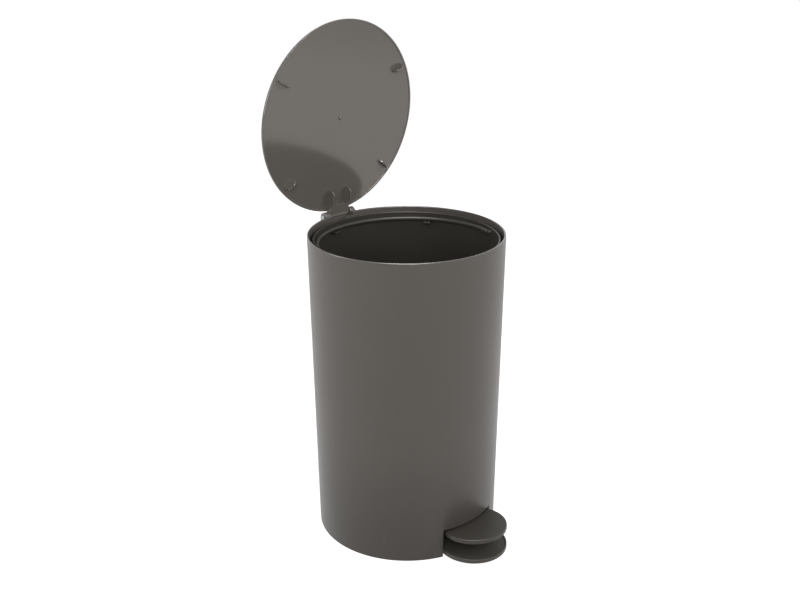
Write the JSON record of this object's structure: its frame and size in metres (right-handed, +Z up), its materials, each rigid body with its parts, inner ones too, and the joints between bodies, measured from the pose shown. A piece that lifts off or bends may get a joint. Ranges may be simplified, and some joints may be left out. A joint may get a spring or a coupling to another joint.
{
  "type": "pedal bin",
  "caption": "Small round household pedal pail in taupe plastic with its lid standing open, a foot pedal on a round tongue, a lift-out inner bucket with bail handle and a push rod up the back.",
  "frame": {"origin": "Centre of the pail's footprint, on the floor that its four rubber feet stand on.", "axes": "+X to the right seen from the front, +Y towards the hinge at the back, +Z up."},
  "size_m": [0.171, 0.207, 0.448],
  "materials": {
    "shell_plastic": "satin moulded plastic, warm grey taupe",
    "pan_plastic": "satin moulded plastic, darker taupe",
    "steel": "bright drawn steel",
    "foot_rubber": "dull black rubber",
    "lever_plastic": "dull black plastic",
    "pedal_plastic": "satin moulded plastic, warm grey taupe",
    "lid_plastic": "smooth glossy plastic, warm grey taupe",
    "bucket_plastic": "satin plastic, dark taupe",
    "bail_plastic": "satin plastic, taupe"
  },
  "bodies": {
    "shell": {"outer_shell": "shell_plastic", "base_pan": "pan_plastic", "base_screws": "steel", "foot_front_left": "foot_rubber", "foot_front_right": "foot_rubber", "foot_rear_left": "foot_rubber", "foot_rear_right": "foot_rubber", "pedal_axle": "steel", "axle_push_nuts": "steel", "rod_guide_lower": "lever_plastic", "rod_guide_upper": "lever_plastic", "hinge_pin": "steel", "hinge_pin_nut": "steel", "inner_bucket": "bucket_plastic", "bail_handle": "bail_plastic"},
    "pedal": {"pedal_lever": "lever_plastic", "pedal_pad": "pedal_plastic"},
    "rod": {"push_rod": "steel", "rod_cap": "lever_plastic", "rod_shoe": "lever_plastic"},
    "lid": {"lid": "lid_plastic"}
  },
  "joints": [
    {"name": "lid_hinge", "type": "hinge", "parent": "shell", "child": "lid", "pos_m": [0, 0.09909, 0.274], "axis": [-1, 0, 0], "range_deg": [-84, 0]},
    {"name": "pedal_pivot", "type": "hinge", "parent": "shell", "child": "pedal", "pos_m": [0, 0.00509, 0.017], "axis": [1, 0, 0], "range_deg": [0, 7.4]},
    {"name": "rod_slide", "type": "slide", "parent": "shell", "child": "rod", "axis": [0, 0.0142, 0.9999], "range_m": [0, 0.01116]}
  ],
  "couplings": [
    {"joint": "rod_slide", "follows": "pedal_pivot", "m_per_rad": 0.086327}
  ]
}
